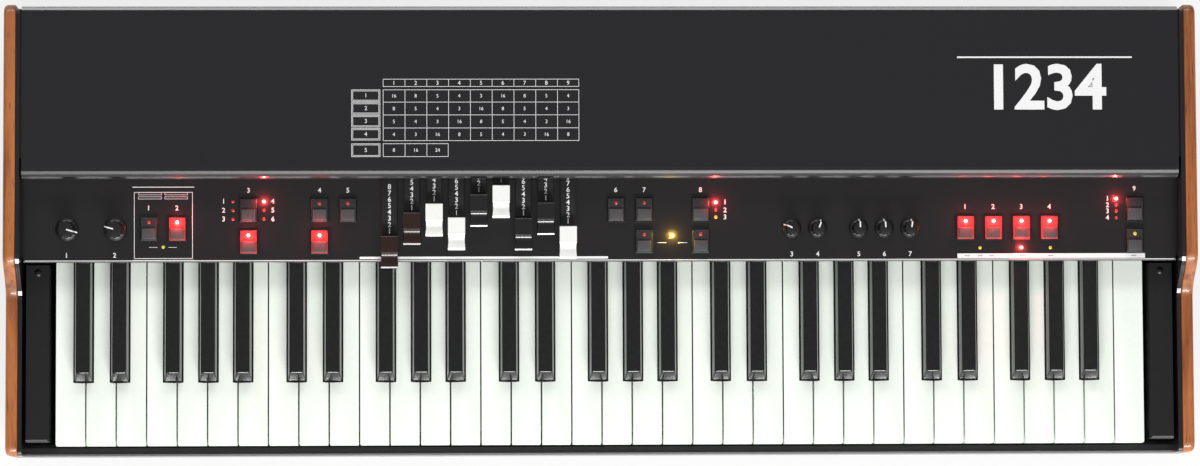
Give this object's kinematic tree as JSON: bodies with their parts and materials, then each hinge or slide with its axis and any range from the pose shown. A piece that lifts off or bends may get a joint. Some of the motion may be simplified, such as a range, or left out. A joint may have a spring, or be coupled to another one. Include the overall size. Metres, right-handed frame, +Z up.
{
  "type": "electronic organ",
  "caption": "Slim electronic organ: black steel case with wooden cheeks, waterfall keyboard, nine sliding drawbars, rotary knobs and push buttons with lamps.",
  "frame": {"origin": "on the table, under the middle of the case", "axes": "+X to the player's right along the keyboard, -Y towards the player, +Z up"},
  "size_m": [0.921, 0.3466, 0.1025],
  "materials": {
    "black_steel": "satin powder coat",
    "panel_black": "satin powder coat",
    "wood": "satin lacquer",
    "black_plastic": "fine grain",
    "ivory": "gloss",
    "ebony": "gloss",
    "button_grey": "matt",
    "cap_brown": "gloss",
    "cap_white": "gloss",
    "cap_black": "gloss",
    "zinc_steel": "zinc plated",
    "circuit_board": "solder mask",
    "rubber": "matt"
  },
  "bodies": {
    "case": {"chassis": "black_steel", "hood": "black_steel", "control_panel": "panel_black", "left_cheek": "wood", "right_cheek": "wood", "left_end_block": "black_plastic", "right_end_block": "black_plastic", "keybed_frame": "zinc_steel", "panel_board": "circuit_board", "main_board": "circuit_board", "drawbar_block": "black_plastic", "foot_front_left": "rubber", "foot_front_right": "rubber", "foot_rear_left": "rubber", "foot_rear_right": "rubber"},
    "white_keys_1": {"white_keys_1": "ivory"},
    "black_keys_1": {"black_keys_1": "ebony"},
    "white_keys_2": {"white_keys_2": "ivory"},
    "black_keys_2": {"black_keys_2": "ebony"},
    "white_keys_3": {"white_keys_3": "ivory"},
    "black_keys_3": {"black_keys_3": "ebony"},
    "white_keys_4": {"white_keys_4": "ivory"},
    "black_keys_4": {"black_keys_4": "ebony"},
    "white_keys_5": {"white_keys_5": "ivory"},
    "black_keys_5": {"black_keys_5": "ebony"},
    "button_rotor_run": {"button_rotor_run": "button_grey"},
    "button_rotor_fast": {"button_rotor_fast": "button_grey"},
    "button_vibrato_select": {"button_vibrato_select": "button_grey"},
    "button_vibrato_on": {"button_vibrato_on": "button_grey"},
    "button_upper_preset_1": {"button_upper_preset_1": "button_grey"},
    "button_upper_preset_2": {"button_upper_preset_2": "button_grey"},
    "button_upper_hold": {"button_upper_hold": "button_grey"},
    "button_lower_preset_1": {"button_lower_preset_1": "button_grey"},
    "button_lower_preset_2": {"button_lower_preset_2": "button_grey"},
    "button_lower_hold": {"button_lower_hold": "button_grey"},
    "button_mode_select": {"button_mode_select": "button_grey"},
    "button_pedals_on": {"button_pedals_on": "button_grey"},
    "button_percussion_1": {"button_percussion_1": "button_grey"},
    "button_percussion_2": {"button_percussion_2": "button_grey"},
    "button_percussion_3": {"button_percussion_3": "button_grey"},
    "button_percussion_4": {"button_percussion_4": "button_grey"},
    "button_type_select": {"button_type_select": "button_grey"},
    "button_shift_select": {"button_shift_select": "button_grey"},
    "volume_knob": {"volume_knob": "black_plastic"},
    "drive_knob": {"drive_knob": "black_plastic"},
    "reverb_knob": {"reverb_knob": "black_plastic"},
    "click_knob": {"click_knob": "black_plastic"},
    "bass_knob": {"bass_knob": "black_plastic"},
    "mid_knob": {"mid_knob": "black_plastic"},
    "treble_knob": {"treble_knob": "black_plastic"},
    "drawbar_1": {"drawbar_1": "cap_brown"},
    "drawbar_2": {"drawbar_2": "cap_brown"},
    "drawbar_3": {"drawbar_3": "cap_white"},
    "drawbar_4": {"drawbar_4": "cap_white"},
    "drawbar_5": {"drawbar_5": "cap_black"},
    "drawbar_6": {"drawbar_6": "cap_white"},
    "drawbar_7": {"drawbar_7": "cap_black"},
    "drawbar_8": {"drawbar_8": "cap_black"},
    "drawbar_9": {"drawbar_9": "cap_white"},
    "power_switch": {"power_switch": "black_plastic"}
  },
  "joints": [
    {"name": "white_keys_1_press", "type": "hinge", "parent": "case", "child": "white_keys_1", "pos_m": [-0.34075, 0.03425, 0.0565], "axis": [1, 0, 0], "range_deg": [0, 2.87], "stiffness_Nm_per_rad": 14, "springref_deg": -4.01},
    {"name": "black_keys_1_press", "type": "hinge", "parent": "case", "child": "black_keys_1", "pos_m": [-0.34075, 0.03425, 0.0456], "axis": [1, 0, 0], "range_deg": [0, 3.2], "stiffness_Nm_per_rad": 14, "springref_deg": -4.01},
    {"name": "white_keys_2_press", "type": "hinge", "parent": "case", "child": "white_keys_2", "pos_m": [-0.17625, 0.03425, 0.0565], "axis": [1, 0, 0], "range_deg": [0, 2.87], "stiffness_Nm_per_rad": 14, "springref_deg": -4.01},
    {"name": "black_keys_2_press", "type": "hinge", "parent": "case", "child": "black_keys_2", "pos_m": [-0.17625, 0.03425, 0.0456], "axis": [1, 0, 0], "range_deg": [0, 3.2], "stiffness_Nm_per_rad": 14, "springref_deg": -4.01},
    {"name": "white_keys_3_press", "type": "hinge", "parent": "case", "child": "white_keys_3", "pos_m": [-0.01175, 0.03425, 0.0565], "axis": [1, 0, 0], "range_deg": [0, 2.87], "stiffness_Nm_per_rad": 14, "springref_deg": -4.01},
    {"name": "black_keys_3_press", "type": "hinge", "parent": "case", "child": "black_keys_3", "pos_m": [-0.01175, 0.03425, 0.0456], "axis": [1, 0, 0], "range_deg": [0, 3.2], "stiffness_Nm_per_rad": 14, "springref_deg": -4.01},
    {"name": "white_keys_4_press", "type": "hinge", "parent": "case", "child": "white_keys_4", "pos_m": [0.15275, 0.03425, 0.0565], "axis": [1, 0, 0], "range_deg": [0, 2.87], "stiffness_Nm_per_rad": 14, "springref_deg": -4.01},
    {"name": "black_keys_4_press", "type": "hinge", "parent": "case", "child": "black_keys_4", "pos_m": [0.15275, 0.03425, 0.0456], "axis": [1, 0, 0], "range_deg": [0, 3.2], "stiffness_Nm_per_rad": 14, "springref_deg": -4.01},
    {"name": "white_keys_5_press", "type": "hinge", "parent": "case", "child": "white_keys_5", "pos_m": [0.31725, 0.03425, 0.0565], "axis": [1, 0, 0], "range_deg": [0, 2.87], "stiffness_Nm_per_rad": 14, "springref_deg": -4.01},
    {"name": "black_keys_5_press", "type": "hinge", "parent": "case", "child": "black_keys_5", "pos_m": [0.31725, 0.03425, 0.0456], "axis": [1, 0, 0], "range_deg": [0, 3.2], "stiffness_Nm_per_rad": 14, "springref_deg": -4.01},
    {"name": "button_rotor_run_press", "type": "slide", "parent": "case", "child": "button_rotor_run", "axis": [0, 0.061, -0.9981], "range_m": [0, 0.001], "stiffness_N_per_m": 400, "springref_m": -0.001},
    {"name": "button_rotor_fast_press", "type": "slide", "parent": "case", "child": "button_rotor_fast", "axis": [0, 0.061, -0.9981], "range_m": [0, 0.001], "stiffness_N_per_m": 400, "springref_m": -0.001},
    {"name": "button_vibrato_select_press", "type": "slide", "parent": "case", "child": "button_vibrato_select", "axis": [0, 0.061, -0.9981], "range_m": [0, 0.001], "stiffness_N_per_m": 400, "springref_m": -0.001},
    {"name": "button_vibrato_on_press", "type": "slide", "parent": "case", "child": "button_vibrato_on", "axis": [0, 0.061, -0.9981], "range_m": [0, 0.001], "stiffness_N_per_m": 400, "springref_m": -0.001},
    {"name": "button_upper_preset_1_press", "type": "slide", "parent": "case", "child": "button_upper_preset_1", "axis": [0, 0.061, -0.9981], "range_m": [0, 0.001], "stiffness_N_per_m": 400, "springref_m": -0.001},
    {"name": "button_upper_preset_2_press", "type": "slide", "parent": "case", "child": "button_upper_preset_2", "axis": [0, 0.061, -0.9981], "range_m": [0, 0.001], "stiffness_N_per_m": 400, "springref_m": -0.001},
    {"name": "button_upper_hold_press", "type": "slide", "parent": "case", "child": "button_upper_hold", "axis": [0, 0.061, -0.9981], "range_m": [0, 0.001], "stiffness_N_per_m": 400, "springref_m": -0.001},
    {"name": "button_lower_preset_1_press", "type": "slide", "parent": "case", "child": "button_lower_preset_1", "axis": [0, 0.061, -0.9981], "range_m": [0, 0.001], "stiffness_N_per_m": 400, "springref_m": -0.001},
    {"name": "button_lower_preset_2_press", "type": "slide", "parent": "case", "child": "button_lower_preset_2", "axis": [0, 0.061, -0.9981], "range_m": [0, 0.001], "stiffness_N_per_m": 400, "springref_m": -0.001},
    {"name": "button_lower_hold_press", "type": "slide", "parent": "case", "child": "button_lower_hold", "axis": [0, 0.061, -0.9981], "range_m": [0, 0.001], "stiffness_N_per_m": 400, "springref_m": -0.001},
    {"name": "button_mode_select_press", "type": "slide", "parent": "case", "child": "button_mode_select", "axis": [0, 0.061, -0.9981], "range_m": [0, 0.001], "stiffness_N_per_m": 400, "springref_m": -0.001},
    {"name": "button_pedals_on_press", "type": "slide", "parent": "case", "child": "button_pedals_on", "axis": [0, 0.061, -0.9981], "range_m": [0, 0.001], "stiffness_N_per_m": 400, "springref_m": -0.001},
    {"name": "button_percussion_1_press", "type": "slide", "parent": "case", "child": "button_percussion_1", "axis": [0, 0.061, -0.9981], "range_m": [0, 0.001], "stiffness_N_per_m": 400, "springref_m": -0.001},
    {"name": "button_percussion_2_press", "type": "slide", "parent": "case", "child": "button_percussion_2", "axis": [0, 0.061, -0.9981], "range_m": [0, 0.001], "stiffness_N_per_m": 400, "springref_m": -0.001},
    {"name": "button_percussion_3_press", "type": "slide", "parent": "case", "child": "button_percussion_3", "axis": [0, 0.061, -0.9981], "range_m": [0, 0.001], "stiffness_N_per_m": 400, "springref_m": -0.001},
    {"name": "button_percussion_4_press", "type": "slide", "parent": "case", "child": "button_percussion_4", "axis": [0, 0.061, -0.9981], "range_m": [0, 0.001], "stiffness_N_per_m": 400, "springref_m": -0.001},
    {"name": "button_type_select_press", "type": "slide", "parent": "case", "child": "button_type_select", "axis": [0, 0.061, -0.9981], "range_m": [0, 0.001], "stiffness_N_per_m": 400, "springref_m": -0.001},
    {"name": "button_shift_select_press", "type": "slide", "parent": "case", "child": "button_shift_select", "axis": [0, 0.061, -0.9981], "range_m": [0, 0.001], "stiffness_N_per_m": 400, "springref_m": -0.001},
    {"name": "volume_knob_turn", "type": "hinge", "parent": "case", "child": "volume_knob", "pos_m": [-0.41307, 0.0009, 0.07807], "axis": [0, -0.061, 0.9981], "range_deg": [-43, 257]},
    {"name": "drive_knob_turn", "type": "hinge", "parent": "case", "child": "drive_knob", "pos_m": [-0.37598, 0.0009, 0.07807], "axis": [0, -0.061, 0.9981], "range_deg": [-225, 75]},
    {"name": "reverb_knob_turn", "type": "hinge", "parent": "case", "child": "reverb_knob", "pos_m": [0.14722, 0.0009, 0.07807], "axis": [0, -0.061, 0.9981], "range_deg": [-215, 85]},
    {"name": "click_knob_turn", "type": "hinge", "parent": "case", "child": "click_knob", "pos_m": [0.16733, 0.0009, 0.07807], "axis": [0, -0.061, 0.9981], "range_deg": [-130, 170]},
    {"name": "bass_knob_turn", "type": "hinge", "parent": "case", "child": "bass_knob", "pos_m": [0.19927, 0.0009, 0.07807], "axis": [0, -0.061, 0.9981], "range_deg": [-150, 150]},
    {"name": "mid_knob_turn", "type": "hinge", "parent": "case", "child": "mid_knob", "pos_m": [0.21915, 0.0009, 0.07807], "axis": [0, -0.061, 0.9981], "range_deg": [-155, 145]},
    {"name": "treble_knob_turn", "type": "hinge", "parent": "case", "child": "treble_knob", "pos_m": [0.23913, 0.0009, 0.07807], "axis": [0, -0.061, 0.9981], "range_deg": [-142, 158]},
    {"name": "drawbar_1_pull", "type": "slide", "parent": "case", "child": "drawbar_1", "axis": [0, -0.9981, -0.061], "range_m": [-0.039, 0]},
    {"name": "drawbar_2_pull", "type": "slide", "parent": "case", "child": "drawbar_2", "axis": [0, -0.9981, -0.061], "range_m": [-0.02096, 0.01804]},
    {"name": "drawbar_3_pull", "type": "slide", "parent": "case", "child": "drawbar_3", "axis": [0, -0.9981, -0.061], "range_m": [-0.01414, 0.02486]},
    {"name": "drawbar_4_pull", "type": "slide", "parent": "case", "child": "drawbar_4", "axis": [0, -0.9981, -0.061], "range_m": [-0.02486, 0.01414]},
    {"name": "drawbar_5_pull", "type": "slide", "parent": "case", "child": "drawbar_5", "axis": [0, -0.9981, -0.061], "range_m": [-0.00707, 0.03193]},
    {"name": "drawbar_6_pull", "type": "slide", "parent": "case", "child": "drawbar_6", "axis": [0, -0.9981, -0.061], "range_m": [0, 0.039]},
    {"name": "drawbar_7_pull", "type": "slide", "parent": "case", "child": "drawbar_7", "axis": [0, -0.9981, -0.061], "range_m": [-0.02535, 0.01365]},
    {"name": "drawbar_8_pull", "type": "slide", "parent": "case", "child": "drawbar_8", "axis": [0, -0.9981, -0.061], "range_m": [-0.01341, 0.02559]},
    {"name": "drawbar_9_pull", "type": "slide", "parent": "case", "child": "drawbar_9", "axis": [0, -0.9981, -0.061], "range_m": [-0.03169, 0.00731]},
    {"name": "power_switch_rock", "type": "hinge", "parent": "case", "child": "power_switch", "pos_m": [-0.39229, 0.16695, 0.03886], "axis": [1, 0, 0], "range_deg": [0, 16]}
  ]
}
